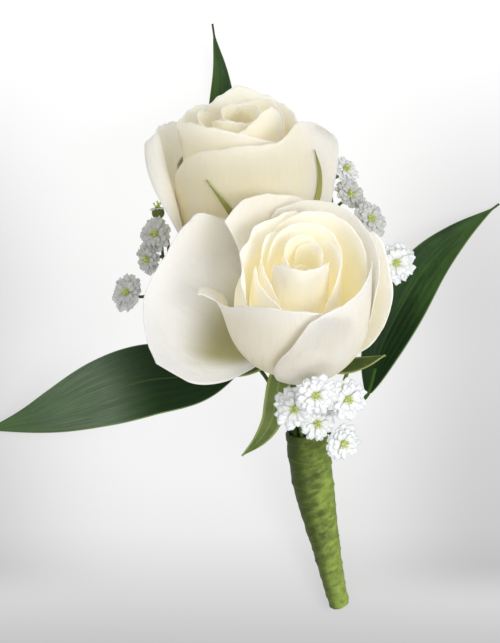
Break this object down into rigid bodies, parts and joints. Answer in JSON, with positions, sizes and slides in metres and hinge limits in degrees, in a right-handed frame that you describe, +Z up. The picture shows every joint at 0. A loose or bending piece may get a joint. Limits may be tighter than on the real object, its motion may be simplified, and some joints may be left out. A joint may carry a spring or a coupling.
{
  "type": "boutonniere",
  "caption": "Boutonniere of cream spray roses with pointed green leaves and small white florets, bound with green stem tape, lying on its back.",
  "frame": {"origin": "middle of the bunch's footprint, on the surface it lies on", "axes": "+Y along the bunch from the taped stem end to the tip of the top leaf, +X to the right seen from above, +Z up, away from the surface, so the flowers face +Z"},
  "size_m": [0.1116, 0.1245, 0.058],
  "materials": {
    "petal": "soft matte, cream to ivory",
    "calyx": "matte fresh green",
    "leaf": "satin dark green",
    "floret": "soft matte white",
    "tape": "waxed crepe, matte olive green"
  },
  "bodies": {
    "root": {"front_rose_petals": "petal", "front_rose_calyx": "calyx", "back_rose_petals": "petal", "back_rose_calyx": "calyx", "leaf_left": "leaf", "leaf_right": "leaf", "leaf_top": "leaf", "spray_front": "floret", "spray_left": "floret", "spray_right": "floret", "stem_tape": "tape"}
  },
  "joints": []
}
